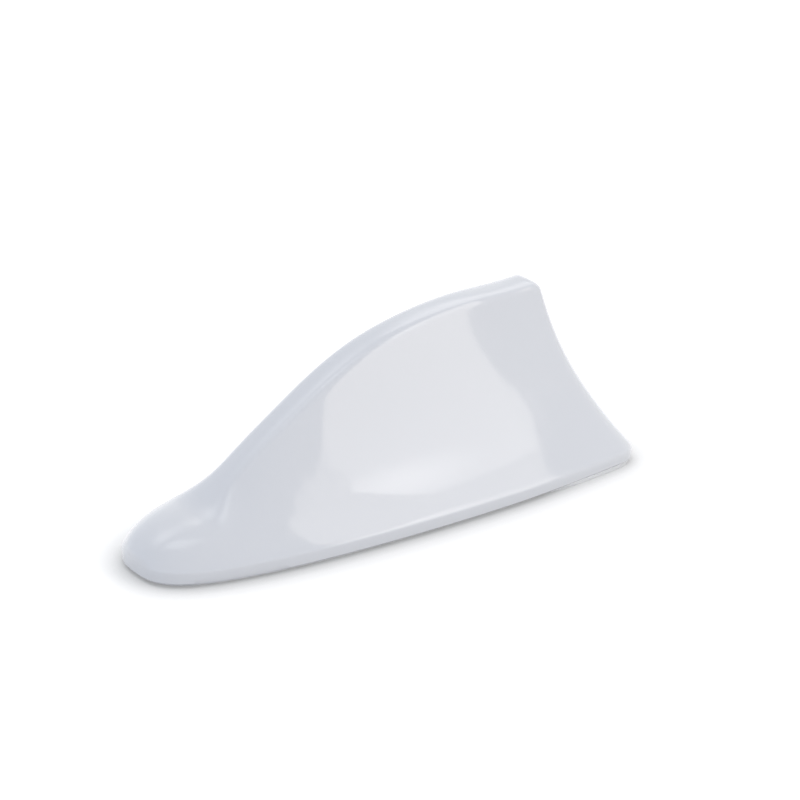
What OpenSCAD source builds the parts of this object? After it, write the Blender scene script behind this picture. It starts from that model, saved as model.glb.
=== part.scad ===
// Shark fin aerial for a car roof: a glossy moulded fin over a base plate that sticks to the roof.
// X runs from the nose (-X) to the tail (+X), Y across, Z up. The roof is the plane Z = 0.

/* [Body] */
// Length of the shell along the roof
body_l = 165; // [155:1:175]
// Greatest width of the shell
body_w = 69; // [66:1:76]
// Width of the shell across its tail
tail_w = 67; // [62:1:68]
// Height of the fin's tip above the roof
body_h = 55.5; // [52:0.5:60]
// Height of the upright rim
rim_h = 4.4; // [4.2:0.1:5.4]
// Wall of the moulding over the cavity
wall = 2.2; // [1.8:0.1:2.6]
// Wall of the lip beside the base plate
lip_t = 1.6; // [1.2:0.1:2]
// Width of the ledge that the gasket seals against
ledge_w = 1.6; // [1.2:0.1:2]

/* [Fin] */
// Width of the flat band along the crest
crest_w = 11.1; // [10.4:0.1:13]
// Depth of the rounded edge of the crest band
crest_r = 3; // [2:0.1:4]
// Lean of the fin's sides from upright, under the crest
side_lean = 16; // [12:0.5:18]
// Slope of the skirt where it leaves the rim
skirt_a = 40; // [35:1:42]
// Rounding between the rim and the skirt
edge_r = 1.4; // [0.8:0.1:1.8]
// Rise of the tongue above the rim, ahead of the fin
tongue_rise = 9.7; // [8.5:0.1:10.5]
// How far the tip stands ahead of the tail
tip_setback = 17.9; // [14:0.1:21]
// Rounding of the tip seen from the side
tip_r = 3.8; // [3:0.1:6]
// Rounding of the tail's corners at the rim
tail_r = 7; // [5:0.5:9]

/* [Base] */
// Thickness of the foam pad under the base plate
pad_t = 1.2; // [0.8:0.1:2]
// Width of the pad's ring
pad_ring = 10; // [8:0.5:12]
// Thickness of the base plate
plate_t = 2.4; // [2:0.1:2.8]
// Gap between the base plate and the shell's lip
plate_gap = 0.3; // [0.2:0.05:0.5]
// Thickness of the squeezed gasket
gasket_t = 0.8; // [0.6:0.1:1]
// Distance of the front screws ahead of the board
front_screw_gap = 8; // [7.5:0.5:11]
// Distance of the front screws from the middle
front_screw_y = 11.5; // [10:0.5:12.5]
// Distance of the rear screws from the tail
rear_screw_s = 25; // [22:1:27]
// Distance of the rear screws from the middle
rear_screw_y = 17; // [15:0.5:18]
// Diameter of the screws' thread
screw_d = 3; // [2.6:0.1:3.2]
// Length of the screws under the head
screw_l = 8; // [6.5:0.5:9]
// Distance of the lead's grommet behind the board
lead_gap = 12; // [11:0.5:16]
// Bore of the grommet, for the lead
lead_d = 4.5; // [3.5:0.1:5]

/* [Electronics] */
// Length of the amplifier board
board_l = 62; // [60:1:64]
// Width of the amplifier board
board_w = 26; // [24:1:28]
// Thickness of the amplifier board
board_t = 1.6; // [1.2:0.1:2]
// Place of the board's front end, as a share of the body's length
board_place = 0.303; // [0.297:0.001:0.32]
// Height of the stand-offs under the board
standoff_h = 3; // [2.5:0.1:4]
// Width of the shield can
can_w = 18; // [15:1:20]
// Height of the shield can
can_h = 5; // [4:0.1:6]
// Turns of the loading coil
coil_turns = 8; // [5:1:9]
// Wire of the loading coil
coil_wire = 0.9; // [0.6:0.1:1]
// Core of the coil former
former_d = 8; // [6:0.5:9]
// Height of the coil former's core
former_h = 13.5; // [12:0.5:15]
// Thickness of the radiator plate
radiator_t = 0.5; // [0.3:0.1:0.8]

/* [Hidden] */
$fn = 48;

// How finely the lofted skins are cut
body_steps = 42;
nose_crowding = 1.9;
corner_steps = 5;
crest_rows = [2, 1.82, 1.65, 1.5, 1.35, 1.2, 1.1, 1];
flank_rows = [0.9, 0.79, 0.68, 0.57, 0.46, 0.35, 0.24, 0.12, 0.08, 0.04, 0];
inner_rows = [0.12, 0.3, 0.48, 0.66, 0.84, 1, 1.3, 1.6, 2];
edge_row = 0.12;

// Plan of the body: where it is widest, and how full the nose is
widest_u = 0.736;
nose_power = 1.32;
nose_fullness = 2.94;

// Side view of the crest: share of the length, share of the rise, slope
crest_knots = [[0.121, 0.143, 3.12], [0.182, 0.322, 2.64], [0.364, 0.718, 1.96],
  [0.533, 0.952, 0.74], [0.691, 1.018, 0.146], [0.85, 1, 0]];
tongue_u = 0.131;
tongue_fillet = 3;
tail_sweep = 1.6;
// Share of the length at which the fin's tip is measured, and how soon the tail takes up its sweep
tip_u = 0.85;
tail_fade = 6;

// Where the tongue's dome turns into the fin's section
fin_start_u = 0.12;
fin_full_u = 0.202;
// Slope of the dome above the rim, and how full the dome is low down and at its crown
tongue_a = 47.5;
dome_foot = 0.37;
dome_crown = 0.65;
// Where the tongue is low, its dome starts this much steeper than its rise over its half-width
dome_steepness = 2.2;
// Rises between which the fin's section turns from a full one into a hollow one
soft_rise = 7.6;
full_rise = 41.7;
// Slope above the rim of the full section, and how much it bends towards the crest
full_a = 50;
full_bend = 9;
// How far the flank keeps to the slope of the skirt, and to its lean at the crest
skirt_reach = 0.39;
flank_reach = 0.43;
// Part of the rise that the rounded edge of the crest takes where the fin is low, and how far the
// edge keeps to the slopes that it joins
crease_share = 0.1;
cap_reach = 0.8;
// The rounding above the rim grows towards the tail: from which share of the length, and by how much
edge_u = 0.62;
edge_growth = 1;

rim_z = pad_t;
rim_top = rim_z + rim_h;
ridge_rise = body_h - rim_top;
plate_top = rim_z + plate_t;
ledge_z = plate_top + gasket_t;
plate_inset = lip_t + plate_gap;
cavity_inset = lip_t + ledge_w;
cavity_z = max(ledge_z + 0.3, rim_top + cavity_inset*tan(skirt_a) - wall/cos(skirt_a));

// Screws and their seats
head_d = 1.9*screw_d;
head_h = 0.65*screw_d;
cup_d = head_d + 3.2;
cup_h = head_h + 2.2;
cup_top = rim_z + cup_h;
boss_d = screw_d + 3.6;
slip = 0.05;
board_x = (board_place - 0.5)*body_l;
screw_places = [[board_x - front_screw_gap, front_screw_y], [body_l/2 - rear_screw_s, rear_screw_y]];

// Board, and what stands on it
board_z = plate_top + standoff_h;
board_top = board_z + board_t;
board_mid = board_x + board_l/2;
standoff_d = 5.2;
standoff_edge = 3.2;
board_screw_d = 2;
board_screw_l = 4.5;
ground_t = 0.4;
foil = 0.3;
coil_x = board_x + 14.5;
foot_d = former_d + 6;
header = [8, 5.5, 5];
header_x = board_x + board_l - 13;
header_y = -9.8;
can_front = coil_x + foot_d/2 + 0.5;
can_l = header_x - header[0]/2 - 1 - can_front;
can_x = can_front + can_l/2;
can_y = -1.5;
capacitor_w = 6.2;
capacitor_x = can_x + can_l/2 + 0.4 + capacitor_w/2;
stand_x = board_x + board_l - 6.5;
earth_x = board_x + 20;
choke_x = board_x + 6.2;
choke_y = 6;
former_foot = 1.2;
slot_d = 2.4;
radiator_z = board_top + former_foot + former_h + 0.6;
radiator_front = coil_x - 5;
radiator_back = body_l/2 - tip_setback - 10;
radiator_gap = 2.5;
slits = 5;
damper_share = 0.33;
damper_start = 0.43;
damper_l = damper_share*(radiator_back - radiator_front);
damper_front = radiator_front + damper_start*(radiator_back - radiator_front);
damper_w = 4.2;

// Pockets under the base plate, between its stand-offs
pocket_t = 0.9;
pocket_rib = 1.8;
pocket_r = 1.2;
pocket_columns = 4;
pocket_rows = 3;
pocket_x = board_x + standoff_edge + standoff_d/2 + pocket_rib;
pocket_field = [board_l - 2*(standoff_edge + standoff_d/2 + pocket_rib), board_w - 2];

// What the base plate carries
gasket_w = 2.6;
rib_t = 1.2;
rib_h = 2;
rib_y = board_w/2 + 2.5;
stop_h = 1.4;
head_sink = 0.2;
lead_x = board_x + board_l + lead_gap;
neck_d = lead_d + 4.4;
collar_d = neck_d + 6;
collar_h = 1.5;
grommet_z = 0.2;
grommet_top = plate_top + 4;

function clip(t) = min(max(t, 0), 1);
function ease(t) = let (k = clip(t)) k*k*(3 - 2*k);
function smooth_max(a, b, r) = let (h = max(r - abs(a - b), 0)/r) max(a, b) + h*h*r/4;
function bezier(a, b, c, d, t) =
  a*pow(1 - t, 3) + 3*b*t*pow(1 - t, 2) + 3*c*t*t*(1 - t) + d*t*t*t;

// Cubic from knot a to knot b, each [place, value, slope]
function span(a, b, u) = let (w = b[0] - a[0])
  bezier(a[1], a[1] + a[2]*w/3, b[1] - b[2]*w/3, b[1], (u - a[0])/w);
function knot_value(knots, u, i = 0) =
  u <= knots[0][0] ? knots[0][1] + knots[0][2]*(u - knots[0][0])
  : i == len(knots) - 1 ? knots[i][1]
  : u <= knots[i + 1][0] ? span(knots[i], knots[i + 1], u)
  : knot_value(knots, u, i + 1);

// Half-width of the plan at share u of the length, as a share of its greatest
function plan(u) = u < widest_u
  ? pow(max(1 - pow(1 - u/widest_u, nose_power), 0), 1/nose_fullness)
  : 1 - (1 - tail_w/body_w)*pow((u - widest_u)/(1 - widest_u), 2);

// Height of the crest above the rim: a low tongue, and the fin's ridge rising out of it
function crest(u) = let (
    tongue = tongue_rise*sqrt(1 - pow(1 - min(u/tongue_u, 1), 2)),
    ridge = ridge_rise*knot_value(crest_knots, u))
  smooth_max(tongue, ridge, tongue_fillet);

// Trailing edge seen from the side: distance from the nose at height z
function trailing(z) = let (
    t = clip((z - rim_top)/ridge_rise),
    k = clip((z - (body_h - tip_r))/tip_r))
  body_l - tip_setback*(1 - pow(1 - t, tail_sweep)) - tip_r*(1 - sqrt(1 - k*k));

// Cross-sections, [half-width, height]. v runs from 0 at the rim over the crest's edge at 1 to the
// middle at 2. b is the half-width at the rim, c that of the crest band, a the slope above the rim.
function edge_section(b, base, edge, a, v) = let (turn = (90 - a)*v/edge_row)
  [b - edge*(1 - cos(turn)), base - edge*(cos(a) - sin(turn))];
function tongue_section(b, base, rise, edge, v) = let (
    a = min(tongue_a, atan(dome_steepness*rise/b)),
    foot = b - edge*(1 - sin(a)),
    low = dome_foot*foot,
    t = (v - edge_row)/(2 - edge_row))
  v < edge_row ? edge_section(b, base, edge, a, v)
  : [bezier(foot, foot - low*cos(a), dome_crown*foot, 0, t), base + bezier(0, low*sin(a), rise, rise, t)];
function fin_section(b, base, rise, c, edge, v) = let (
    depth = min(crest_r, crease_share*rise),
    top = rise - depth,
    chord = atan2(top, b - c),
    hollow = ease((rise - soft_rise)/(full_rise - soft_rise)),
    low = skirt_a + (full_a - skirt_a)*pow(1 - hollow, 2),
    high = (1 - hollow)*(chord - full_bend) + hollow*(90 - side_lean),
    foot = b - edge*(1 - sin(low)),
    way = norm([foot - c, top]),
    start = skirt_reach*way,
    end = flank_reach*way,
    t = (v - edge_row)/(1 - edge_row),
    k = v - 1)
  v < edge_row ? edge_section(b, base, edge, low, v)
  : v <= 1 ? [bezier(foot, foot - start*cos(low), c + end*cos(high), c, t),
      base + bezier(0, start*sin(low), top - end*sin(high), top, t)]
  : [bezier(c, c - cap_reach*depth*cos(high), cap_reach*c, 0, k),
      base + top + bezier(0, cap_reach*depth*sin(high), depth, depth, k)];
function edge_at(u, edge) = edge*(1 + edge_growth*ease((u - edge_u)/(1 - edge_u)));
function section(s, v, inset, base, drop, edge) = let (
    u = (s + inset)/body_l,
    e = edge_at(u, edge),
    b = plan(s/(body_l - 2*inset))*(body_w/2 - inset),
    rise = rim_top + crest(u) - drop - base,
    c = min(crest_w/2 - drop, 0.8*b),
    q = ease((u - fin_start_u)/(fin_full_u - fin_start_u)))
  (1 - q)*tongue_section(b, base, rise, e, v) + q*fin_section(b, base, rise, c, e, v);

// A closed ring round the body at row v, from the tail over the nose and back
function row_corner(v, w) = min(tail_r*(1 - 0.75*min(v, 1)), 0.85*w);
function ring(v, inset = 0, base = rim_top, drop = 0, edge = edge_r, z = undef) = let (
    at_tip = section(tip_u*body_l, v, inset, base, drop, edge),
    turn = (90 - skirt_a)*min(v/edge_row, 1),
    inward = edge_at(1, edge)*(1 - cos(turn))*pow(1 - clip((at_tip[1] - rim_top)/ridge_rise), tail_fade),
    end_s = is_undef(z) ? trailing(at_tip[1] + drop) - inward - 2*inset : body_l - 2*inset,
    corner = row_corner(v, section(end_s, v, inset, base, drop, edge)[0]),
    full = body_l - 2*inset,
    last = end_s - corner,
    side = [
      for (i = [0:body_steps]) let (
          s0 = pow(i/body_steps, nose_crowding),
          s = full*s0*(1 - (1 - last/full)*s0*s0),
          p = section(s, v, inset, base, drop, edge))
        [s + inset - body_l/2, p[0], is_undef(z) ? p[1] : z],
      for (i = [1:corner_steps]) let (
          a = 90*i/corner_steps,
          s = last + corner*sin(a),
          p = section(s, v, inset, base, drop, edge))
        [s + inset - body_l/2, p[0] - corner*(1 - cos(a)), is_undef(z) ? p[1] : z]])
  [for (i = [len(side) - 1:-1:0]) side[i], for (i = [1:len(side) - 1]) [side[i][0], -side[i][1], side[i][2]]];

// Outline of the body at the rim, moved inwards, for the flat pieces
function outline(inset) = [for (p = ring(0, inset, edge = 0, z = 0)) [p[0], p[1]]];

// Surface through rings with the same number of points; ends that aren't flat lines are capped
module loft(rings, cap = false) {
  count = len(rings[0]);
  points = [for (r = rings) for (p = r) p];
  walls = [for (k = [0:len(rings) - 2]) for (i = [0:count - 1]) let (
      a = k*count + i, b = k*count + (i + 1)%count, c = b + count, d = a + count)
    each [[a, b, c], [a, c, d]]];
  solid_walls = [for (f = walls)
    if (norm(points[f[0]] - points[f[1]]) > 1e-6 && norm(points[f[1]] - points[f[2]]) > 1e-6
      && norm(points[f[2]] - points[f[0]]) > 1e-6) f];
  end = [for (i = [0:count - 1]) (len(rings) - 1)*count + i];
  polyhedron(points, cap ? concat(solid_walls, [end]) : solid_walls, convexity = 8);
}

module at_screws() {
  for (p = screw_places, side = [-1, 1]) translate([p[0], side*p[1]]) children();
}

module at_standoffs() {
  for (x = [board_x + standoff_edge, board_x + board_l - standoff_edge], side = [-1, 1])
    translate([x, side*(board_w/2 - standoff_edge)]) children();
}

module boss_limit() {
  mid = wall/2;
  rows = [2, 1.5, 1.2, 1, 0.8, 0.6, 0.4, 0.24, 0.12];
  loft(concat([for (v = rows) ring(v, mid, cavity_z, mid, 0)], [ring(0, mid, edge = 0, z = ledge_z)]), cap = true);
}

module shell_skin() {
  outside = [for (v = concat(crest_rows, flank_rows)) ring(v)];
  rim = [ring(0, z = rim_z + 0.5), ring(0, 0.4, z = rim_z)];
  rebate = [ring(0, lip_t, z = rim_z), ring(0, lip_t, z = ledge_z), ring(0, cavity_inset, z = ledge_z)];
  inside = [for (v = inner_rows) ring(v, cavity_inset, cavity_z, wall, 0)];
  loft(concat(outside, rim, rebate, inside));
}

module shell() {
  color("white") difference() {
    union() {
      shell_skin();
      intersection() {
        at_screws() translate([0, 0, cup_top]) cylinder(d = boss_d, h = body_h);
        boss_limit();
      }
    }
    at_screws() translate([0, 0, cup_top - 1]) cylinder(d = screw_d + 2*slip, h = screw_l);
  }
}

module base_pockets() {
  step = [(pocket_field[0] + pocket_rib)/pocket_columns, (pocket_field[1] + pocket_rib)/pocket_rows];
  for (i = [0:pocket_columns - 1], j = [0:pocket_rows - 1])
    translate([pocket_x + i*step[0], j*step[1] - pocket_field[1]/2, rim_z - 1]) linear_extrude(1 + pocket_t)
      offset(pocket_r) offset(-pocket_r) square([step[0] - pocket_rib, step[1] - pocket_rib]);
}

module base_plate() {
  gasket_stop = plate_inset + gasket_w + plate_gap;
  rib_x = board_x + 4;
  color("#26282b") difference() {
    union() {
      translate([0, 0, rim_z]) linear_extrude(plate_t) polygon(outline(plate_inset));
      translate([0, 0, plate_top - 0.5]) linear_extrude(stop_h + 0.5) difference() {
        polygon(outline(gasket_stop));
        polygon(outline(gasket_stop + rib_t));
      }
      at_screws() translate([0, 0, rim_z]) cylinder(d = cup_d, h = cup_h);
      at_standoffs() translate([0, 0, rim_z]) cylinder(d = standoff_d, h = plate_t + standoff_h);
      for (side = [-1, 1]) translate([rib_x, side*rib_y - rib_t/2, plate_top - 0.5])
        cube([board_l - 8, rib_t, rib_h + 0.5]);
      translate([lead_x, 0, plate_top - 0.5]) cylinder(d = collar_d, h = collar_h + 0.5);
    }
    at_screws() translate([0, 0, rim_z - 1]) cylinder(d = head_d + 0.6, h = 1 + head_sink + head_h);
    at_screws() translate([0, 0, rim_z]) cylinder(d = screw_d + 0.4, h = cup_h + 1);
    at_standoffs() translate([0, 0, rim_z + 1]) cylinder(d = board_screw_d + 2*slip, h = plate_t + standoff_h);
    translate([lead_x, 0, rim_z - 1]) cylinder(d = neck_d + 2*slip, h = plate_t + 2);
    translate([lead_x, 0, plate_top]) cylinder(d = collar_d - 2*rib_t, h = collar_h + 1);
    base_pockets();
  }
}

module adhesive_pad() {
  color("whitesmoke") linear_extrude(pad_t) difference() {
    polygon(outline(plate_inset + 0.3));
    polygon(outline(plate_inset + pad_ring));
  }
}

module seal_gasket() {
  color("#151515") translate([0, 0, plate_top]) linear_extrude(gasket_t) difference() {
    polygon(outline(plate_inset));
    polygon(outline(plate_inset + gasket_w));
  }
}

// Pan-head screw, its head's underside at z = 0 and its shank pointing up
module pan_screw(d, l, head, h, cross) {
  difference() {
    union() {
      rotate_extrude() polygon([[0, 0], [head/2, 0], [head/2, -h*0.45], [head*0.36, -h*0.9], [0, -h]]);
      translate([0, 0, -0.1]) cylinder(d = d, h = l - d/3 + 0.1);
      translate([0, 0, l - d/3]) rotate_extrude() polygon([[0, 0], [d/2, 0], [d*0.3, d/3], [0, d/3]]);
    }
    for (a = [0, 90]) rotate(a) translate([-cross/2, -cross/8, -h - 1]) cube([cross, cross/4, 1 + h*0.6]);
  }
}

module base_screws() {
  color("silver") at_screws() translate([0, 0, rim_z + head_sink + head_h])
    pan_screw(screw_d, screw_l, head_d, head_h, head_d*0.6);
}

// Rubber grommet, its bore closed by a membrane until the lead is pushed through
module lead_grommet() {
  bore_r = lead_d/2;
  sleeve = 1.3;
  color("#1c1c1c") translate([lead_x, 0, 0]) rotate_extrude() polygon([
    [bore_r, grommet_z], [neck_d/2 + 1.6, grommet_z], [neck_d/2 + 1.6, rim_z], [neck_d/2, rim_z],
    [neck_d/2, plate_top], [neck_d/2 + 1, plate_top], [neck_d/2 + 0.4, plate_top + 1.4],
    [bore_r + sleeve, plate_top + 2], [bore_r + sleeve - 0.4, grommet_top - 0.6],
    [bore_r + sleeve - 1, grommet_top], [0, grommet_top], [0, grommet_top - 1], [bore_r, grommet_top - 1]]);
}

module ground_plate() {
  over = 1;
  w = 2*rib_y - rib_t - 2*slip;
  color("lightgray") translate([0, 0, plate_top]) difference() {
    union() {
      translate([board_x - over, -w/2, 0]) cube([board_l + 2*over, w, ground_t]);
      for (side = [-1, 1]) translate([board_x - over, side*(w - ground_t)/2 - ground_t/2, 0])
        cube([board_l + 2*over, ground_t, rib_h]);
    }
    at_standoffs() translate([0, 0, -1]) cylinder(d = standoff_d + 0.6, h = ground_t + 2);
  }
}

// Spring strip that joins the board's earth to the ground plate
module earth_spring() {
  low = plate_top + ground_t;
  strip = 0.3;
  color("goldenrod") translate([earth_x, 2, 0]) rotate([90, 0, 0]) linear_extrude(4) polygon([
    [-4, low], [0.2, low], [3, board_z - strip], [6, board_z - strip], [6, board_z],
    [2.8, board_z], [0, low + strip], [-4, low + strip]]);
}

module amplifier_board() {
  cut = 1.5;
  color("darkgreen") translate([board_x, 0, board_z]) difference() {
    linear_extrude(board_t) polygon([[cut, -board_w/2], [board_l - cut, -board_w/2],
      [board_l, cut - board_w/2], [board_l, board_w/2 - cut], [board_l - cut, board_w/2],
      [cut, board_w/2], [0, board_w/2 - cut], [0, cut - board_w/2]]);
    for (x = [standoff_edge, board_l - standoff_edge], side = [-1, 1])
      translate([x, side*(board_w/2 - standoff_edge), -1]) cylinder(d = board_screw_d + 0.3, h = board_t + 2);
  }
}

module board_screws() {
  color("silver") at_standoffs() translate([0, 0, board_top]) mirror([0, 0, 1])
    pan_screw(board_screw_d, board_screw_l, 1.8*board_screw_d, 0.6*board_screw_d, board_screw_d);
}

module shield_can() {
  color("gainsboro") translate([can_x - can_l/2, can_y - can_w/2, board_top]) difference() {
    cube([can_l, can_w, can_h]);
    translate([foil, foil, -1]) cube([can_l - 2*foil, can_w - 2*foil, can_h - foil + 1]);
    for (x = [can_l*0.25, can_l*0.5, can_l*0.75], y = [can_w*0.3, can_w*0.7])
      translate([x, y, can_h - 1]) cylinder(d = 1.6, h = 2);
    for (x = [can_l*0.2, can_l*0.65]) translate([x, -1, -0.01]) cube([can_l*0.15, can_w + 2, 0.8]);
  }
}

module amplifier_chip() {
  chip = [5, 4, 1.4];
  lift = 0.2;
  color("#1a1a1a") translate([can_x, can_y, board_top]) {
    translate([-chip[0]/2, -chip[1]/2, lift]) cube(chip);
    for (i = [-1.5:1:1.5], side = [-1, 1]) translate([i*1.27 - 0.2, side > 0 ? chip[1]/2 - 0.1 : -chip[1]/2 - 0.9, 0])
      cube([0.4, 1, lift + 0.3]);
  }
}

module filter_capacitors() {
  color("silver") for (y = [2.5, 9.2]) translate([capacitor_x, y, board_top]) {
    translate([-capacitor_w/2, -capacitor_w/2, 0]) cube([capacitor_w, capacitor_w, 1]);
    translate([0, 0, 0.9]) rotate_extrude()
      polygon([[0, 0], [3, 0], [3, 0.7], [2.7, 1], [3, 1.3], [3, 4.4], [2.6, 4.7], [0, 4.7]]);
  }
}

module tuning_chokes() {
  color("#3a3634") for (side = [-1, 1]) translate([choke_x, side*choke_y, board_top]) {
    cylinder(d = 5.6, h = 0.8);
    cylinder(d = 3, h = 3.4);
    translate([0, 0, 2.6]) cylinder(d = 5.6, h = 0.8);
  }
}

module lead_header() {
  color("ivory") translate([header_x, header_y, board_top]) difference() {
    translate([-header[0]/2, -header[1]/2, 0]) cube(header);
    translate([-header[0]/2 + 0.8, -header[1]/2 + 0.8, 1.2]) cube([header[0] + 1, header[1] - 1.6, header[2] - 2]);
  }
  color("gold") translate([header_x, header_y, board_top]) for (side = [-1, 1])
    translate([-2.8, side*1.1 - 0.3, 2.4]) cube([5.4, 0.6, 0.6]);
}

module coil_former() {
  slot = radiator_t + 2*slip;
  color("#d8d2c0") translate([coil_x, 0, board_top]) difference() {
    union() {
      cylinder(d = foot_d, h = former_foot);
      cylinder(d = former_d, h = former_foot + former_h + 1);
      translate([0, 0, former_foot + former_h]) cylinder(d = former_d + 4, h = slot_d + 0.6);
    }
    translate([-former_d, -slot/2, former_foot + former_h + 0.6]) cube([2*former_d, slot, slot_d + 1]);
    translate([0, 0, -1]) cylinder(d = former_d/2, h = former_foot + former_h - 2);
  }
}

// Enamelled wire wound round the former in one layer, its ends against the two flanges
module loading_coil() {
  sides = 6;
  turn_steps = 18;
  steps = coil_turns*turn_steps;
  mean_r = former_d/2 + coil_wire/2 + slip;
  low = board_top + former_foot + coil_wire/2;
  rise = former_h - coil_wire;
  rings = [for (i = [0:steps]) let (a = 360*i/turn_steps) [for (k = [0:sides - 1]) let (
      b = -90 + 360*k/sides,
      r = mean_r + coil_wire/2*cos(b))
    [coil_x + r*cos(a), r*sin(a), low + rise*i/steps + coil_wire/2*sin(b)]]];
  points = [for (r = rings) for (p = r) p];
  walls = [for (i = [0:steps - 1], k = [0:sides - 1]) let (
      a = i*sides + k, b = i*sides + (k + 1)%sides)
    each [[a, a + sides, b], [b, a + sides, b + sides]]];
  start = [for (k = [0:sides - 1]) k];
  end = [for (k = [sides - 1:-1:0]) steps*sides + k];
  color("#b4652c") polyhedron(points, concat(walls, [start, end]), convexity = 10);
}

// Height of the cavity's roof over the middle, at x
function roof(x) = rim_top + crest((x + body_l/2)/body_l) - wall;

// Tinned sheet standing under the crest, slit from both edges into a meander
module radiator_plate() {
  steps = 24;
  run = radiator_back - radiator_front;
  top = [for (i = [steps:-1:0]) let (x = radiator_front + run*i/steps) [x, roof(x) - radiator_gap]];
  slit = 1.6;
  bridge = 4;
  color("#c9c9c4") translate([0, radiator_t/2, 0]) rotate([90, 0, 0]) linear_extrude(radiator_t) difference() {
    polygon(concat([[radiator_front, radiator_z], [radiator_back, radiator_z]], top));
    for (i = [0:slits - 1]) let (x = radiator_front + run*(i + 1.5)/(slits + 1.5), up = i%2 == 0)
      translate([x - slit/2, up ? radiator_z + bridge : radiator_z - 1])
        square([slit, up ? body_h : roof(x) - radiator_gap - bridge - radiator_z + 1]);
  }
}

module plate_stand() {
  slot = radiator_t + 2*slip;
  top = radiator_z + slot_d;
  color("#d8d2c0") translate([stand_x, 0, 0]) difference() {
    union() {
      translate([-3.5, -6, board_top]) cube([7, 12, 1.4]);
      translate([-2.5, 0, 0]) rotate([90, 0, 90]) linear_extrude(5)
        polygon([[-5, board_top + 1], [5, board_top + 1], [2, top], [-2, top]]);
    }
    translate([-5, -slot/2, radiator_z]) cube([10, slot, slot_d + 1]);
  }
}

// Foam strip astride the radiator's upper edge, against the roof of the cavity
module foam_damper() {
  steps = 10;
  grip = 3;
  rest = 0.9;
  line = [for (i = [0:steps]) damper_front + damper_l*i/steps];
  under = [for (x = line) [x, roof(x) - radiator_gap - grip]];
  over = [for (i = [steps:-1:0]) [line[i], roof(line[i]) - rest]];
  slot = [for (i = [steps:-1:0]) [line[i], roof(line[i]) - radiator_gap + 0.02]];
  color("#3c3f42") difference() {
    translate([0, damper_w/2, 0]) rotate([90, 0, 0]) linear_extrude(damper_w) polygon(concat(under, over));
    translate([0, radiator_t/2 + slip, 0]) rotate([90, 0, 0]) linear_extrude(radiator_t + 2*slip)
      polygon(concat([[damper_front + damper_l + 1, 0], [damper_front + damper_l + 1, slot[0][1]]], slot,
        [[damper_front - 1, slot[steps][1]], [damper_front - 1, 0]]));
  }
}

shell();
base_plate();
adhesive_pad();
seal_gasket();
base_screws();
lead_grommet();
ground_plate();
earth_spring();
amplifier_board();
board_screws();
shield_can();
amplifier_chip();
filter_capacitors();
tuning_chokes();
lead_header();
coil_former();
loading_coil();
radiator_plate();
plate_stand();
foam_damper();
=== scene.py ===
import math

import bpy
from mathutils import Matrix, Vector


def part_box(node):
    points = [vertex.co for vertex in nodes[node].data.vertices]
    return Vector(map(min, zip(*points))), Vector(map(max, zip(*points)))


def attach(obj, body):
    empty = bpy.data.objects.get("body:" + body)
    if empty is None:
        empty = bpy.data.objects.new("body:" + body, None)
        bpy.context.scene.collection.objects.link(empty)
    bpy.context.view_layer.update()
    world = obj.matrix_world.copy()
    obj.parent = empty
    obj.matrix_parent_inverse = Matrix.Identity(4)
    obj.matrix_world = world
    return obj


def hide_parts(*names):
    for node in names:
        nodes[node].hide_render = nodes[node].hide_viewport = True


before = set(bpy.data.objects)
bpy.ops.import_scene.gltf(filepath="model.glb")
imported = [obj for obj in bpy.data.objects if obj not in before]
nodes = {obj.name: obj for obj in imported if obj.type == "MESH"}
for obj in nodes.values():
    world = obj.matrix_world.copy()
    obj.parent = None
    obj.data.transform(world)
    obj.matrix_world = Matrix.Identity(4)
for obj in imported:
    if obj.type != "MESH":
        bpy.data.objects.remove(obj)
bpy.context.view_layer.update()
print("frame loaded:", len(nodes), "nodes")


def deselectAll():
    if bpy.context.object and bpy.context.object.mode != "OBJECT":
        bpy.ops.object.mode_set(mode="OBJECT")
    bpy.ops.object.select_all(action="DESELECT")


def makeActive(piece):
    deselectAll()
    piece.select_set(True)
    bpy.context.view_layer.objects.active = piece


mergeDistance = 0.000002     # metres


def copyOfNode(nodeName, pieceName):
    # a merged copy of a CAD node, which stays as it is
    piece = nodes[nodeName].copy()
    piece.data = nodes[nodeName].data.copy()
    piece.name = piece.data.name = pieceName
    for key in list(piece.keys()):
        if key.startswith("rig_"):
            del piece[key]
    piece.parent = None
    bpy.context.scene.collection.objects.link(piece)
    makeActive(piece)
    bpy.ops.object.mode_set(mode="EDIT")
    bpy.ops.mesh.select_all(action="SELECT")
    bpy.ops.mesh.remove_doubles(threshold=mergeDistance)
    bpy.ops.object.mode_set(mode="OBJECT")
    if piece.data.has_custom_normals:
        bpy.ops.mesh.customdata_custom_splitnormals_clear()
    return piece


def placeInFrame(piece, slotName, nodeName=None):
    # a piece with a node's name stands for that node
    piece.data.materials.clear()
    piece.data.materials.append(materials[slotName])
    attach(piece, "root")
    if nodeName:
        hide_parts(nodeName)


def newGroup(name, inputs, outputs):
    group = bpy.data.node_groups.new(name, "ShaderNodeTree")
    for label, kind, value in inputs:
        socket = group.interface.new_socket(label, in_out="INPUT", socket_type=kind)
        socket.default_value = value
    for label, kind in outputs:
        group.interface.new_socket(label, in_out="OUTPUT", socket_type=kind)
    inside = group.nodes.new("NodeGroupInput")
    outside = group.nodes.new("NodeGroupOutput")
    return group, inside, outside


grainNoise = {"rough": 0.55, "blotchDetail": 2.0, "blotchScale": 0.06}     # blotches: a share of the grain's


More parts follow.
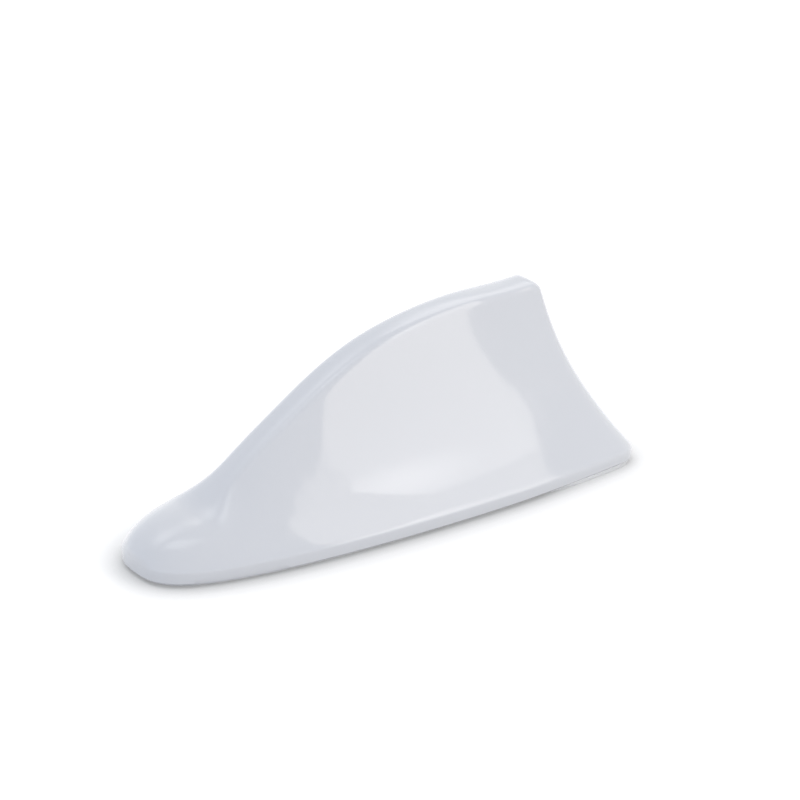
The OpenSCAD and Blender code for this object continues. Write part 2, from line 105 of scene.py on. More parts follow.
def grainGroup():
    # moulded grain: a fine height and a soft blotch mask
    group, inside, outside = newGroup(
        "mouldedGrain",
        [("Scale", "NodeSocketFloat", 400.0), ("Detail", "NodeSocketFloat", 3.0)],
        [("Height", "NodeSocketFloat"), ("Blotch", "NodeSocketFloat")],
    )
    where = group.nodes.new("ShaderNodeTexCoord")
    fine = group.nodes.new("ShaderNodeTexNoise")
    fine.inputs["Roughness"].default_value = grainNoise["rough"]
    coarse = group.nodes.new("ShaderNodeTexNoise")
    coarse.inputs["Detail"].default_value = grainNoise["blotchDetail"]
    slower = group.nodes.new("ShaderNodeMath")
    slower.operation = "MULTIPLY"
    slower.inputs[1].default_value = grainNoise["blotchScale"]
    link = group.links.new
    link(where.outputs["Object"], fine.inputs["Vector"])
    link(where.outputs["Object"], coarse.inputs["Vector"])
    link(inside.outputs["Scale"], fine.inputs["Scale"])
    link(inside.outputs["Detail"], fine.inputs["Detail"])
    link(inside.outputs["Scale"], slower.inputs[0])
    link(slower.outputs[0], coarse.inputs["Scale"])
    link(fine.outputs["Fac"], outside.inputs["Height"])
    link(coarse.outputs["Fac"], outside.inputs["Blotch"])
    return group


dustNoise = {"stretch": (0.45, 1.0, 1.0), "detail": 6.0, "rough": 0.7, "full": 0.9}


def dustGroup():
    # faint dust and wipe marks, as a mask from 0 to 1
    group, inside, outside = newGroup(
        "dustAndWipes",
        [("Scale", "NodeSocketFloat", 60.0), ("Cover", "NodeSocketFloat", 0.5)],
        [("Mask", "NodeSocketFloat")],
    )
    where = group.nodes.new("ShaderNodeTexCoord")
    stretch = group.nodes.new("ShaderNodeMapping")
    stretch.inputs["Scale"].default_value = dustNoise["stretch"]
    specks = group.nodes.new("ShaderNodeTexNoise")
    specks.inputs["Detail"].default_value = dustNoise["detail"]
    specks.inputs["Roughness"].default_value = dustNoise["rough"]
    window = group.nodes.new("ShaderNodeMapRange")
    window.inputs["From Max"].default_value = dustNoise["full"]
    link = group.links.new
    link(where.outputs["Object"], stretch.inputs["Vector"])
    link(stretch.outputs["Vector"], specks.inputs["Vector"])
    link(inside.outputs["Scale"], specks.inputs["Scale"])
    link(specks.outputs["Fac"], window.inputs["Value"])
    link(inside.outputs["Cover"], window.inputs["From Min"])
    link(window.outputs["Result"], outside.inputs["Mask"])
    return group


foamToneScale = 90.0


def cellGroup():
    # open cells of a cut foam
    group, inside, outside = newGroup(
        "foamCells",
        [("Scale", "NodeSocketFloat", 2200.0)],
        [("Height", "NodeSocketFloat"), ("Tone", "NodeSocketFloat")],
    )
    where = group.nodes.new("ShaderNodeTexCoord")
    cells = group.nodes.new("ShaderNodeTexVoronoi")
    tone = group.nodes.new("ShaderNodeTexNoise")
    tone.inputs["Scale"].default_value = foamToneScale
    link = group.links.new
    link(where.outputs["Object"], cells.inputs["Vector"])
    link(where.outputs["Object"], tone.inputs["Vector"])
    link(inside.outputs["Scale"], cells.inputs["Scale"])
    link(cells.outputs["Distance"], outside.inputs["Height"])
    link(tone.outputs["Fac"], outside.inputs["Tone"])
    return group


groups = {"grain": grainGroup(), "dust": dustGroup(), "cells": cellGroup()}
socketNames = {"rough": "Roughness", "metal": "Metallic", "sheen": "Sheen Weight", "ior": "IOR",
               "specular": "Specular IOR Level", "coat": "Coat Weight", "coatRough": "Coat Roughness",
               "coatIor": "Coat IOR"}


# the part of a mask's range over which a finish goes from its first value to its second
blotchWindow = (0.3, 0.7)
wholeWindow = (0.0, 1.0)


class Finish:
    # one material with its shader at hand
    def __init__(self, name):
        self.material = bpy.data.materials.new(name)
        self.material.use_nodes = True
        self.tree = self.material.node_tree
        self.shader = self.tree.nodes["Principled BSDF"]

    def add(self, kind, **values):
        node = self.tree.nodes.new(kind)
        for key, value in values.items():
            node.inputs[key].default_value = value
        return node

    def group(self, name, **values):
        node = self.tree.nodes.new("ShaderNodeGroup")
        node.node_tree = groups[name]
        for key, value in values.items():
            node.inputs[key].default_value = value
        return node

    def link(self, start, end):
        self.tree.links.new(start, end)

    def set(self, **values):
        for key, value in values.items():
            self.shader.inputs[socketNames[key]].default_value = value

    def maths(self, operation, *values):
        node = self.add("ShaderNodeMath")
        node.operation = operation
        for socket, value in zip(node.inputs, values):
            if isinstance(value, float):
                socket.default_value = value
            else:
                self.link(value, socket)
        return node.outputs[0]

    def mapRange(self, value, low, high, outLow, outHigh, way="LINEAR"):
        node = self.add("ShaderNodeMapRange")
        node.interpolation_type = way
        limits = (("From Min", low), ("From Max", high), ("To Min", outLow), ("To Max", outHigh))
        for label, number in limits:
            node.inputs[label].default_value = number
        self.link(value, node.inputs["Value"])
        return node.outputs["Result"]

    def fade(self, *limits):
        return self.mapRange(*limits, way="SMOOTHSTEP")

    def colourBetween(self, colours, mask, window=blotchWindow):
        ramp = self.add("ShaderNodeValToRGB")
        for stop, place, colour in zip(ramp.color_ramp.elements, window, colours):
            stop.position = place
            stop.color = (*colour, 1)
        self.link(mask, ramp.inputs["Fac"])
        self.link(ramp.outputs["Color"], self.shader.inputs["Base Color"])

    def roughBetween(self, roughs, mask, window=blotchWindow):
        self.link(self.mapRange(mask, *window, *roughs), self.shader.inputs["Roughness"])

    def bump(self, height, distance, strength=1.0):
        bump = self.add("ShaderNodeBump", Distance=distance, Strength=strength)
        self.link(height, bump.inputs["Height"])
        self.link(bump.outputs["Normal"], self.shader.inputs["Normal"])


# each moulding's grain and dust, which of the two tints it while the other dulls it, and its grain's height
mouldings = {
    "glossWhite": {
        "grain": (140.0, 1.0), "dust": (45.0, 0.55), "tintBy": "grain",
        "colour": ((0.738, 0.75, 0.784), (0.745, 0.757, 0.79)), "rough": (0.07, 0.12), "height": 0.00005,
        "gloss": {"coat": 1.0, "coatRough": 0.03, "ior": 1.5, "coatIor": 1.5, "specular": 0.5},
    },
    "ivoryPlastic": {
        "grain": (900.0, 2.0), "dust": (120.0, 0.5), "tintBy": "grain",
        "colour": ((0.66, 0.61, 0.49), (0.72, 0.67, 0.55)), "rough": (0.4, 0.52), "height": 0.00001,
    },
    "blackPlastic": {
        "grain": (1600.0, 2.0), "dust": (80.0, 0.5), "tintBy": "dust",
        "colour": ((0.018, 0.019, 0.021), (0.034, 0.035, 0.037)), "rough": (0.42, 0.56),
        "height": 0.00004, "strength": 0.6,
    },
    "blackRubber": {
        "grain": (2400.0, 3.0), "dust": (150.0, 0.42), "tintBy": "dust",
        "colour": ((0.012, 0.012, 0.013), (0.045, 0.044, 0.042)), "rough": (0.62, 0.8),
        "height": 0.00003, "strength": 0.7,
    },
}


def mouldedFinish(name):
    moulding = mouldings[name]
    finish = Finish(name)
    grain = finish.group("grain", Scale=moulding["grain"][0], Detail=moulding["grain"][1])
    dust = finish.group("dust", Scale=moulding["dust"][0], Cover=moulding["dust"][1])
    blotches = (grain.outputs["Blotch"], blotchWindow)
    dirt = (dust.outputs["Mask"], wholeWindow)
    tint, dull = (blotches, dirt) if moulding["tintBy"] == "grain" else (dirt, blotches)
    finish.colourBetween(moulding["colour"], *tint)
    finish.roughBetween(moulding["rough"], *dull)
    finish.bump(grain.outputs["Height"], moulding["height"], moulding.get("strength", 1.0))
    finish.set(**moulding.get("gloss", {}))
    return finish.material


foams = {
    "whiteFoam": {"colour": ((0.8, 0.805, 0.81), (0.87, 0.875, 0.88)), "cells": 2400.0},
    "greyFoam": {"colour": ((0.035, 0.037, 0.04), (0.06, 0.062, 0.066)), "cells": 1500.0},
}
foamFace = {"rough": 0.92, "specular": 0.2, "sheen": 0.15}
foamCells = {"height": 0.00012, "strength": 0.8}


def foamFinish(name):
    finish = Finish(name)
    cells = finish.group("cells", Scale=foams[name]["cells"])
    finish.colourBetween(foams[name]["colour"], cells.outputs["Tone"])
    finish.bump(cells.outputs["Height"], foamCells["height"], foamCells["strength"])
    finish.set(**foamFace)
    return finish.material


# each metal's colour and roughness from and to, and the size and stretch of its streaks
metals = {
    "zincSteel": {"colour": ((0.62, 0.63, 0.66), (0.72, 0.72, 0.71)), "rough": (0.24, 0.4),
                  "size": 700.0},
    "tinnedSteel": {"colour": ((0.66, 0.66, 0.65), (0.76, 0.76, 0.76)), "rough": (0.26, 0.42),
                    "size": 260.0},
    "springBrass": {"colour": ((0.72, 0.5, 0.2), (0.8, 0.58, 0.27)), "rough": (0.22, 0.36),
                    "size": 500.0, "stretch": (0.2, 1.0, 1.0)},
    "aluminiumCan": {"colour": ((0.7, 0.71, 0.72), (0.8, 0.8, 0.81)), "rough": (0.2, 0.34),
                     "size": 420.0, "stretch": (1.0, 1.0, 0.15)},
    "copperWire": {"colour": ((0.62, 0.25, 0.1), (0.74, 0.33, 0.14)), "rough": (0.2, 0.32),
                   "size": 900.0},
}
metalStreaks = {"detail": 5.0, "rough": 0.6, "height": 0.000006}
metalBlotches = {"scale": 1.5, "detail": 2.0}     # their scale is a share of the streaks'


def metalFinish(name):
    # plated or rolled metal with fine streaks
    metal = metals[name]
    finish = Finish(name)
    where = finish.add("ShaderNodeTexCoord")
    turn = finish.add("ShaderNodeMapping", Scale=metal.get("stretch", (1.0, 1.0, 1.0)))
    streaks = finish.add("ShaderNodeTexNoise", Scale=metal["size"], Detail=metalStreaks["detail"],
                         Roughness=metalStreaks["rough"])
    finish.link(where.outputs["Object"], turn.inputs["Vector"])
    finish.link(turn.outputs["Vector"], streaks.inputs["Vector"])
    grain = finish.group("grain", Scale=metal["size"]*metalBlotches["scale"], Detail=metalBlotches["detail"])
    finish.colourBetween(metal["colour"], grain.outputs["Blotch"])
    finish.roughBetween(metal["rough"], streaks.outputs["Fac"])
    finish.bump(streaks.outputs["Fac"], metalStreaks["height"])
    finish.set(metal=1.0)
    return finish.material


laminate = {
    "trackScale": 320.0,
    "trackRandom": 0.55,
    "trackEdge": (0.05, 0.09),
    "weaveScale": 900.0,
    "weaveBend": 0.4,
    "colour": ((0.02, 0.13, 0.05), (0.008, 0.055, 0.024)),
    "rough": (0.28, 0.36),
    "height": 0.00003,
    "strength": 0.5,
}


def laminateFinish():
    # green solder mask over tracks, with the glass weave faintly under it
    finish = Finish("greenLaminate")
    where = finish.add("ShaderNodeTexCoord")
    tracks = finish.add("ShaderNodeTexVoronoi", Scale=laminate["trackScale"])
    tracks.feature = "DISTANCE_TO_EDGE"
    tracks.inputs["Randomness"].default_value = laminate["trackRandom"]
    weave = finish.add("ShaderNodeTexWave", Scale=laminate["weaveScale"], Distortion=laminate["weaveBend"])
    finish.link(where.outputs["Object"], tracks.inputs["Vector"])
    finish.link(where.outputs["Object"], weave.inputs["Vector"])
    finish.colourBetween(laminate["colour"], tracks.outputs["Distance"], laminate["trackEdge"])
    finish.roughBetween(laminate["rough"], weave.outputs["Fac"], wholeWindow)
    finish.bump(tracks.outputs["Distance"], laminate["height"], laminate["strength"])
    return finish.material


ferrite = {
    "scale": 2600.0,
    "detail": 4.0,
    "colour": ((0.02, 0.018, 0.017), (0.05, 0.046, 0.043)),
    "rough": (0.55, 0.75),
    "height": 0.00003,
}


def ferriteFinish():
    finish = Finish("ferrite")
    grain = finish.group("grain", Scale=ferrite["scale"], Detail=ferrite["detail"])
    finish.colourBetween(ferrite["colour"], grain.outputs["Height"])
    finish.roughBetween(ferrite["rough"], grain.outputs["Blotch"])
    finish.bump(grain.outputs["Height"], ferrite["height"])
    return finish.material


materials = {
    "gloss_white": mouldedFinish("glossWhite"),
    "black_plastic": mouldedFinish("blackPlastic"),
    "white_foam": foamFinish("whiteFoam"),
    "grey_foam": foamFinish("greyFoam"),
    "black_rubber": mouldedFinish("blackRubber"),
    "zinc_steel": metalFinish("zincSteel"),
    "tinned_steel": metalFinish("tinnedSteel"),
    "spring_brass": metalFinish("springBrass"),
    "green_laminate": laminateFinish(),
    "aluminium_can": metalFinish("aluminiumCan"),
    "ferrite": ferriteFinish(),
    "ivory_plastic": mouldedFinish("ivoryPlastic"),
    "copper_wire": metalFinish("copperWire"),
}
print("materials made:", len(materials))

# every piece but the shell: the node it stands for, its finish, and its softened edges' width and rings
innerPieces = {
    "basePlateMoulding": ("base_plate", "black_plastic", 0.00015, 2),
    "adhesiveRing": ("adhesive_pad", "white_foam", 0.0001, 2),
    "gasketRing": ("seal_gasket", "black_rubber", 0.0002, 3),
    "bottomScrews": ("base_screws", "zinc_steel", 0.0001, 2),
    "grommetMoulding": ("lead_grommet", "black_rubber", 0.0002, 2),
    "groundSheet": ("ground_plate", "tinned_steel", 0.00008, 2),
    "springStrip": ("earth_spring", "spring_brass", 0.00005, 2),
    "circuitBoard": ("amplifier_board", "green_laminate", 0.00006, 1),
    "smallScrews": ("board_screws", "zinc_steel", 0.0001, 2),
    "canCover": ("shield_can", "tinned_steel", 0.0001, 2),
    "chipBody": ("amplifier_chip", "black_plastic", 0.00006, 2),
    "capacitorCans": ("filter_capacitors", "aluminium_can", 0.00012, 2),
    "chokeCores": ("tuning_chokes", "ferrite", 0.0001, 2),
    "headerBody": ("lead_header", "ivory_plastic", 0.00015, 2),
    "formerMoulding": ("coil_former", "ivory_plastic", 0.00015, 2),
    "coilWire": ("loading_coil", "copper_wire", 0.00004, 1),
    "radiatorSheet": ("radiator_plate", "tinned_steel", 0.00006, 2),
    "standMoulding": ("plate_stand", "ivory_plastic", 0.0002, 2),
    "damperStrip": ("foam_damper", "grey_foam", 0.0004, 3),
}


def assignFinish(nodeName, slotName):
    for place in nodes[nodeName].material_slots:
        place.link = "OBJECT"
        place.material = materials[slotName]


softEdges = {"flat": 0.5, "sharp": 30.0, "smooth": 38.0}     # degrees between faces


def softenedCopy(pieceName, nodeName, slotName, width, rings):
    piece = copyOfNode(nodeName, pieceName)
    bpy.ops.object.mode_set(mode="EDIT")
    bpy.ops.mesh.select_all(action="SELECT")
    bpy.ops.mesh.dissolve_limited(angle_limit=math.radians(softEdges["flat"]))
    bpy.ops.object.mode_set(mode="OBJECT")
    edges = piece.modifiers.new("edges", "BEVEL")
    edges.width, edges.segments = width, rings
    edges.limit_method, edges.angle_limit = "ANGLE", math.radians(softEdges["sharp"])
    edges.use_clamp_overlap = False
    bpy.ops.object.modifier_apply(modifier=edges.name)
    bpy.ops.object.shade_smooth_by_angle(angle=math.radians(softEdges["smooth"]))
    placeInFrame(piece, slotName, nodeName)
    return piece


# toward the tail the foam ring reaches out to just short of the rim
adhesiveSpread = {"start": 0.042, "full": 0.058, "shortOfRim": 0.0001}


def spreadAtRear(piece):
    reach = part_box("shell")[1][0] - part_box("adhesive_pad")[1][0] - adhesiveSpread["shortOfRim"]
    outward = [Vector((v.normal.x, v.normal.y, 0)).normalized() for v in piece.data.vertices]
    for vertex, way in zip(piece.data.vertices, outward):
        share = (vertex.co.x - adhesiveSpread["start"])/(adhesiveSpread["full"] - adhesiveSpread["start"])
        share = min(max(share, 0), 1)
        if way.x*(vertex.co.x - adhesiveSpread["start"]) + way.y*vertex.co.y > 0:
            vertex.co += way*reach*share*share*(3 - 2*share)


for pieceName, (nodeName, slotName, width, rings) in innerPieces.items():
    assignFinish(nodeName, slotName)
    piece = softenedCopy(pieceName, nodeName, slotName, width, rings)
    if pieceName == "adhesiveRing":
        spreadAtRear(piece)
print("inner pieces made:", len(innerPieces))


solderJoints = {
    "sides": 14,
    # each ring's rise in mm, and its share of the last ring
    "rings": ((0.12, 0.8), (0.12, 0.72), (0.14, 0.85), (0.08, 0.55)),
    # x, y and radius in mm
    "spots": ((11.7, -8.75, 0.7), (11.7, -10.95, 0.7), (-30.1, 6.0, 0.7), (-30.1, -6.0, 0.7),
              (-26.3, 9.7, 0.7), (-26.3, -9.7, 0.7), (18.75, 9.2, 0.6), (11.25, 9.2, 0.6),
              (-18.0, 7.95, 0.8), (-18.0, -7.95, 0.8), (-6.0, -11.0, 0.5), (4.0, -11.0, 0.5),
              (-6.0, 8.0, 0.5), (4.0, 8.0, 0.5)),
}
roundedUpTo = 50.0     # degrees between faces of a joined piece


def joinPieces(parts, name):
    deselectAll()
    for part in parts:
        part.select_set(True)
    bpy.context.view_layer.objects.active = parts[0]
    bpy.ops.object.join()
    whole = bpy.context.object
    whole.name = whole.data.name = name
    makeActive(whole)
    bpy.ops.object.transform_apply(location=True, rotation=True, scale=True)
    bpy.ops.object.mode_set(mode="EDIT")
    bpy.ops.mesh.select_all(action="SELECT")
    bpy.ops.mesh.normals_make_consistent(inside=False)
    bpy.ops.object.mode_set(mode="OBJECT")
    bpy.ops.object.shade_smooth_by_angle(angle=math.radians(roundedUpTo))
    return whole


def buildSolderJoints():
    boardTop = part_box("amplifier_board")[1][2]
    parts = []
    for x, y, radius in solderJoints["spots"]:
        deselectAll()
        bpy.ops.mesh.primitive_circle_add(vertices=solderJoints["sides"], radius=radius/1000,
                                          fill_type="NGON", location=(x/1000, y/1000, boardTop))
        part = bpy.context.object
        bpy.ops.object.mode_set(mode="EDIT")
        bpy.ops.mesh.select_all(action="SELECT")
        for rise, share in solderJoints["rings"]:
            bpy.ops.mesh.extrude_region_move(TRANSFORM_OT_translate={"value": (0, 0, rise/1000)})
            bpy.ops.transform.resize(value=(share, share, 1), center_override=(x/1000, y/1000, 0))
        bpy.ops.object.mode_set(mode="OBJECT")
        parts.append(part)
    placeInFrame(joinPieces(parts, "solderJoints"), "tinned_steel")


chokeWindings = {
    "wire": 0.26,                  # in mm, as are the next two and the floor
    "layers": (1.66, 1.9, 2.14),   # radius of each layer
    "centre": (-26.3, 6.0),
    "floor": 0.86,                 # above the core's foot
    "rows": 6,
    "sides": 24,
    "wireSides": 6,
}


def buildChokeWindings():
    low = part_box("tuning_chokes")[0][2] + chokeWindings["floor"]/1000
    wire = chokeWindings["wire"]/1000
    x, away = (v/1000 for v in chokeWindings["centre"])
    parts = []
    for side in (-1, 1):
        for layer, radius in enumerate(chokeWindings["layers"]):
            nested = layer%2     # every second layer lies in the grooves of the one below
            for row in range(chokeWindings["rows"] - nested):
                deselectAll()
                height = low + wire*(row + 0.5 + 0.5*nested)
                bpy.ops.mesh.primitive_torus_add(major_segments=chokeWindings["sides"],
                                                 minor_segments=chokeWindings["wireSides"],
                                                 major_radius=radius/1000, minor_radius=wire/2,
                                                 location=(x, side*away, height))
                parts.append(bpy.context.object)
    placeInFrame(joinPieces(parts, "chokeWindings"), "copper_wire")


buildSolderJoints()
buildChokeWindings()
print("joints and windings made")


finSkin = {"creaseAngle": 33.0, "levels": 1, "pairFaces": 40.0, "pairShape": 60.0}     # angles in degrees


def buildFinSkin():
    assignFinish("shell", "gloss_white")
    skin = copyOfNode("shell", "finSkin")
    bpy.ops.object.mode_set(mode="EDIT")
    bpy.ops.mesh.select_all(action="SELECT")
    bpy.ops.mesh.tris_convert_to_quads(face_threshold=math.radians(finSkin["pairFaces"]),
                                       shape_threshold=math.radians(finSkin["pairShape"]))
    bpy.ops.mesh.select_all(action="DESELECT")
    bpy.ops.mesh.select_mode(type="EDGE")
    bpy.ops.mesh.edges_select_sharp(sharpness=math.radians(finSkin["creaseAngle"]))
    bpy.ops.transform.edge_crease(value=1.0)
    bpy.ops.object.mode_set(mode="OBJECT")
    sides = [len(face.vertices) for face in skin.data.polygons]
    print("skin faces:", len(sides), "of them quads:", sides.count(4))
    smooth = skin.modifiers.new("smooth", "SUBSURF")
    smooth.levels = smooth.render_levels = finSkin["levels"]
    bpy.ops.object.modifier_apply(modifier=smooth.name)
    bpy.ops.object.shade_smooth_by_angle(angle=math.radians(finSkin["creaseAngle"]))
    placeInFrame(skin, "gloss_white", "shell")


buildFinSkin()
print("fin skin made")


# the camera is taken from the photograph's frame of 800 by 800
viewpoint = {
    "azimuth": -37.0,
    "elevation": 26.7,
    "distance": 0.9,
    "pivot": (0.0, 0.0, 0.0278),
    "pixelsPerMm": 3.35,      # at the pivot
    "pivotPixel": (362.9, 413.0),
    "frame": 800,
    "sensor": 36,             # in mm
}


def directionTo(azimuth, elevation):
    a, e = math.radians(azimuth), math.radians(elevation)
    return Vector((math.sin(a)*math.cos(e), -math.cos(a)*math.cos(e), math.sin(e)))


def placeCamera():
    lens = bpy.data.cameras.new("camera")
    camera = bpy.data.objects.new("camera", lens)
    bpy.context.scene.collection.objects.link(camera)
    back = directionTo(viewpoint["azimuth"], viewpoint["elevation"])
    camera.location = Vector(viewpoint["pivot"]) + back*viewpoint["distance"]
    camera.rotation_euler = (-back).to_track_quat("-Z", "Y").to_euler()
    lens.sensor_width = viewpoint["sensor"]
    lens.lens = viewpoint["pixelsPerMm"]*1000*viewpoint["distance"]/viewpoint["frame"]*viewpoint["sensor"]
    half = viewpoint["frame"]/2
    lens.shift_x = (half - viewpoint["pivotPixel"][0])/viewpoint["frame"]
    lens.shift_y = (viewpoint["pivotPixel"][1] - half)/viewpoint["frame"]
    bpy.context.scene.camera = camera


placeCamera()
print("camera placed")


# the pale floor; the lift makes it white for the camera, and fades beside the object where it is shaded, as
# a painted shadow
floorCard = {
    "size": 6.0,
    "faces": 8,
    "colour": (0.52, 0.52, 0.52),
    "blotch": 1.01,           # how much lighter its blotches are
    "grain": (40.0, 2.0),     # scale and detail
    "rough": 0.9,
    "specular": 0.1,
    "lift": 0.62,
    "liftUnderRim": 0.28,     # share of the lift that is left under the rim, where the painted shadow is deepest
    "shadeReach": 0.0095,
    "shadeSteep": 2.3,
    "shadeSamples": 4,
}


def backgroundRays(finish):
    # 1 for rays from the camera and for mirrored or refracted ones
    path = finish.add("ShaderNodeLightPath")
    seen = finish.maths("MAXIMUM", path.outputs["Is Camera Ray"], path.outputs["Is Glossy Ray"])
    return finish.maths("MAXIMUM", seen, path.outputs["Is Transmission Ray"])


def placeFloor():
    deselectAll()
    bpy.ops.mesh.primitive_grid_add(x_subdivisions=floorCard["faces"], y_subdivisions=floorCard["faces"],
                                    size=floorCard["size"])
    floor = bpy.context.object
    floor.name = "floor"
    finish = Finish("studioFloor")
    grain = finish.group("grain", Scale=floorCard["grain"][0], Detail=floorCard["grain"][1])
    blotch = tuple(c*floorCard["blotch"] for c in floorCard["colour"])
    finish.colourBetween((floorCard["colour"], blotch), grain.outputs["Blotch"])
    finish.set(rough=floorCard["rough"], specular=floorCard["specular"])
    # painted shadow: the floor's glow is darkened near the object by occlusion, not by a lamp
    paintedShadowOcclusion = finish.add("ShaderNodeAmbientOcclusion", Distance=floorCard["shadeReach"])
    paintedShadowOcclusion.samples = floorCard["shadeSamples"]
    paintedShadowShare = finish.maths("POWER", paintedShadowOcclusion.outputs["AO"], floorCard["shadeSteep"])
    lift = finish.maths("MULTIPLY_ADD", paintedShadowShare, floorCard["lift"]*(1 - floorCard["liftUnderRim"]),
                        floorCard["lift"]*floorCard["liftUnderRim"])
    glow = finish.add("ShaderNodeEmission")
    finish.link(lift, glow.inputs["Strength"])
    nothing = finish.add("ShaderNodeEmission", Strength=0.0)
    pick = finish.add("ShaderNodeMixShader")
    both = finish.add("ShaderNodeAddShader")
    finish.link(backgroundRays(finish), pick.inputs[0])
    finish.link(nothing.outputs[0], pick.inputs[1])
    finish.link(glow.outputs[0], pick.inputs[2])
    finish.link(finish.shader.outputs[0], both.inputs[0])
    finish.link(pick.outputs[0], both.inputs[1])
    finish.link(both.outputs[0], finish.tree.nodes["Material Output"].inputs["Surface"])
    floor.data.materials.append(finish.material)


sky = {
    "left": (1.09, 1.14, 1.235),     # low down, toward the nose
    "right": (1.07, 1.07, 1.07),
    "top": (0.44, 0.46, 0.5),
    "fadeFrom": 0.12,                # height where the fade to the top begins
}


def placeWorld():
    world = bpy.data.worlds.new("studioWorld")
    bpy.context.scene.world = world
    world.use_nodes = True
    tree = world.node_tree
    way = tree.nodes.new("ShaderNodeTexCoord")
    split = tree.nodes.new("ShaderNodeSeparateXYZ")
    across = tree.nodes.new("ShaderNodeMapRange")
    across.inputs["From Min"].default_value = -1.0
    upward = tree.nodes.new("ShaderNodeMapRange")
    upward.inputs["From Min"].default_value = sky["fadeFrom"]
    tint = tree.nodes.new("ShaderNodeMix")
    fade = tree.nodes.new("ShaderNodeMix")
    tint.data_type = fade.data_type = "RGBA"
    tint.inputs["A"].default_value = (*sky["left"], 1)
    tint.inputs["B"].default_value = (*sky["right"], 1)
    fade.inputs["B"].default_value = (*sky["top"], 1)
    link = tree.links.new
    link(way.outputs["Generated"], split.inputs[0])
    link(split.outputs["X"], across.inputs["Value"])
    link(split.outputs["Z"], upward.inputs["Value"])
    link(across.outputs["Result"], tint.inputs["Factor"])
    link(upward.outputs["Result"], fade.inputs["Factor"])
    link(tint.outputs["Result"], fade.inputs["A"])
    link(fade.outputs["Result"], tree.nodes["Background"].inputs["Color"])


sheetAim = (0.015, 0.0, 0.03)
sheetRows = 24

# sheets of light round the fin, hidden from the camera; left and right give each side's place at the waist,
# and how far it bows above and below it
lightSheets = {
    "sidePanel": {
        "azimuth": 31.0, "elevation": 19.2, "distance": 1.2, "roll": -17.4, "shift": (-0.09, 0.3),
        "bottom": -0.72, "top": 0.65, "waist": -0.15, "bowEnd": 0.5,
        "left": (-0.269, 0.26, 0.1), "right": (0.282, 0.22, 0.05), "soft": (0.02, 0.015),
        "radiance": 2.15, "colour": (1.0, 0.965, 0.93),
        # the hot band glows round its centre, and stops at a crisp edge that bends at the peak and the turn
        "hot": {
            "rest": 0.76, "centre": (-0.07, 0.2), "reach": (0.22, 0.3), "full": 0.1, "gain": 0.42,
            "edge": 0.371, "crisp": 0.015, "peak": 0.02, "slopes": (0.68, 0.35), "turn": -0.18,
            "steep": 4.5,
        },
    },
    "backPanel": {
        "azimuth": 120.0, "elevation": 48.0, "distance": 1.6, "bottom": -0.55, "top": 0.55,
        "left": (-0.9, 0.0, 0.0), "right": (0.9, 0.0, 0.0), "soft": (0.3, 0.3),
        "radiance": 1.5, "colour": (1.0, 1.0, 1.0),
    },
    "ridgePanel": {
        "azimuth": -164.0, "elevation": 57.0, "distance": 1.6, "bottom": -0.42, "top": 0.55,
        "left": (-0.85, 0.0, 0.0), "right": (0.85, 0.0, 0.0), "soft": (0.5, 0.5),
        "radiance": 1.35, "colour": (0.97, 0.98, 1.0),
    },
    "topPanel": {
        "azimuth": -60.0, "elevation": 76.0, "distance": 1.5, "bottom": -0.5, "top": 0.5,
        "left": (-0.6, 0.0, 0.0), "right": (0.6, 0.0, 0.0), "soft": (0.4, 0.4),
        "radiance": 1.3, "colour": (0.95, 0.98, 1.0),
    },
}


def sheetPlace(panel):
    # faces the fin from a direction; roll and shift are in the sheet's own plane
    away = directionTo(panel["azimuth"], panel["elevation"])
    side = Vector((0, 0, 1)).cross(away).normalized()
    turn = Matrix((side, away.cross(side), away)).transposed().to_4x4()
    turn = turn @ Matrix.Rotation(math.radians(panel.get("roll", 0.0)), 4, "Z")
    spot = Vector(sheetAim) + away*panel["distance"]
    return Matrix.Translation(spot) @ turn @ Matrix.Translation((*panel.get("shift", (0.0, 0.0)), 0))


def hotBand(finish, hot, x, y):
    # the share of the sheet's radiance at a point; past the crisp edge it is the rest
    asideX = finish.maths("DIVIDE", finish.maths("SUBTRACT", x, hot["centre"][0]), hot["reach"][0])
    asideY = finish.maths("DIVIDE", finish.maths("SUBTRACT", y, hot["centre"][1]), hot["reach"][1])
    squares = finish.maths("ADD", finish.maths("MULTIPLY", asideX, asideX),
                           finish.maths("MULTIPLY", asideY, asideY))
    glowing = finish.fade(finish.maths("SQRT", squares), hot["full"], 1.0, 1.0, 0.0)
    edge = y
    for start, way, steep in ((hot["peak"], -1.0, hot["slopes"][0]), (hot["peak"], 1.0, hot["slopes"][1]),
                              (hot["turn"], -1.0, hot["steep"])):
        beyond = finish.maths("MULTIPLY", finish.maths("SUBTRACT", x, start), way)
        past = finish.maths("MAXIMUM", beyond, 0.0)
        edge = finish.maths("ADD", edge, finish.maths("MULTIPLY", past, steep))
    stop = finish.fade(edge, hot["edge"], hot["edge"] + hot["crisp"], 1.0, 0.0)
    below = finish.maths("ADD", finish.maths("MULTIPLY", glowing, hot["gain"]), 1.0 - hot["rest"])
    return finish.maths("ADD", finish.maths("MULTIPLY", below, stop), hot["rest"])


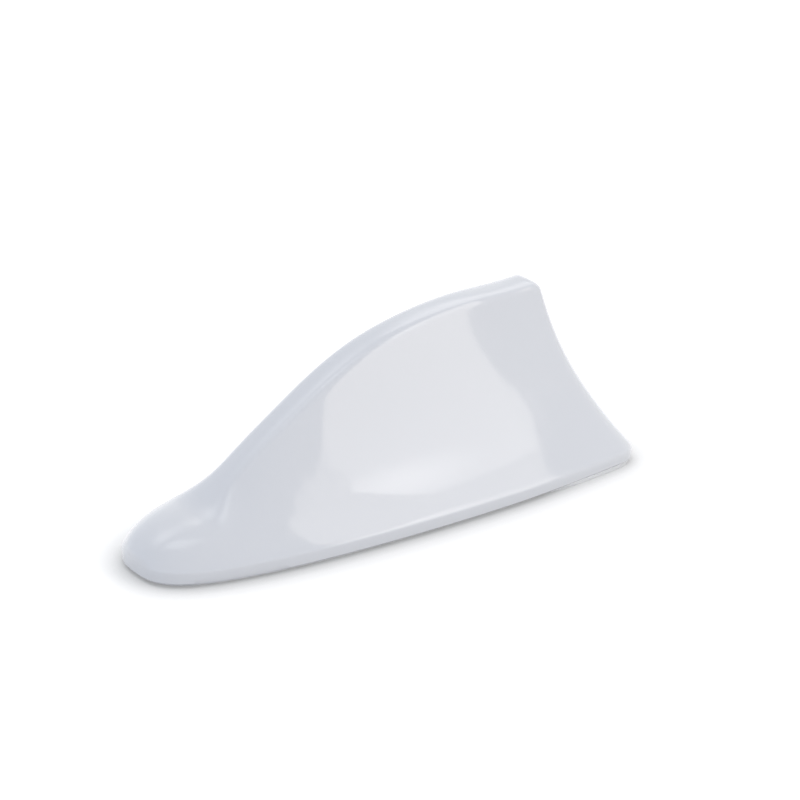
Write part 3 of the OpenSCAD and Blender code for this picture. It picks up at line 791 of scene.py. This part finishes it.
def sheetFinish(name, panel):
    # light on one face only, fading out at the sides and ends
    finish = Finish(name)
    where = finish.add("ShaderNodeTexCoord")
    share = finish.add("ShaderNodeSeparateXYZ")
    finish.link(where.outputs["UV"], share.inputs[0])
    across, along = share.outputs["X"], share.outputs["Y"]
    left, right = panel["soft"]
    sides = finish.maths("MULTIPLY", finish.fade(across, 0.0, left, 0.0, 1.0),
                         finish.fade(across, 1.0 - right, 1.0, 1.0, 0.0))
    ends = finish.maths("MULTIPLY", finish.fade(along, 0.0, left, 0.0, 1.0),
                        finish.fade(along, 1.0 - left, 1.0, 1.0, 0.0))
    face = finish.add("ShaderNodeNewGeometry")
    shown = finish.maths("MULTIPLY", finish.maths("MULTIPLY", sides, ends), face.outputs["Backfacing"])
    glow = finish.add("ShaderNodeEmission", Color=(*panel["colour"], 1), Strength=panel["radiance"])
    if "hot" in panel:
        place = finish.add("ShaderNodeSeparateXYZ")
        finish.link(where.outputs["Object"], place.inputs[0])
        level = hotBand(finish, panel["hot"], place.outputs["X"], place.outputs["Y"])
        finish.link(finish.maths("MULTIPLY", level, panel["radiance"]), glow.inputs["Strength"])
    clear = finish.add("ShaderNodeBsdfTransparent")
    mix = finish.add("ShaderNodeMixShader")
    finish.link(shown, mix.inputs[0])
    finish.link(clear.outputs[0], mix.inputs[1])
    finish.link(glow.outputs[0], mix.inputs[2])
    finish.link(mix.outputs[0], finish.tree.nodes["Material Output"].inputs["Surface"])
    return finish.material


def placeSheet(name, panel):
    deselectAll()
    bpy.ops.mesh.primitive_grid_add(x_subdivisions=1, y_subdivisions=sheetRows, size=1)
    sheet = bpy.context.object
    sheet.name = name
    waist, bowEnd = panel.get("waist", 0.0), panel.get("bowEnd", 1.0)
    for vertex in sheet.data.vertices:
        side, bowAbove, bowBelow = panel["left"] if vertex.co.x < 0 else panel["right"]
        vertex.co.y = panel["bottom"] + (vertex.co.y + 0.5)*(panel["top"] - panel["bottom"])
        above = min(vertex.co.y - waist, bowEnd)
        vertex.co.x = side + (bowAbove if above > 0 else bowBelow)*above**2
    sheet.matrix_world = sheetPlace(panel)
    sheet.data.materials.append(sheetFinish(name, panel))
    sheet.visible_camera = False
    sheet.visible_shadow = False


placeFloor()
placeWorld()
for sheetName, panel in lightSheets.items():
    placeSheet(sheetName, panel)
bpy.context.scene.view_settings.view_transform = "Standard"
print("floor, sky and light sheets placed")
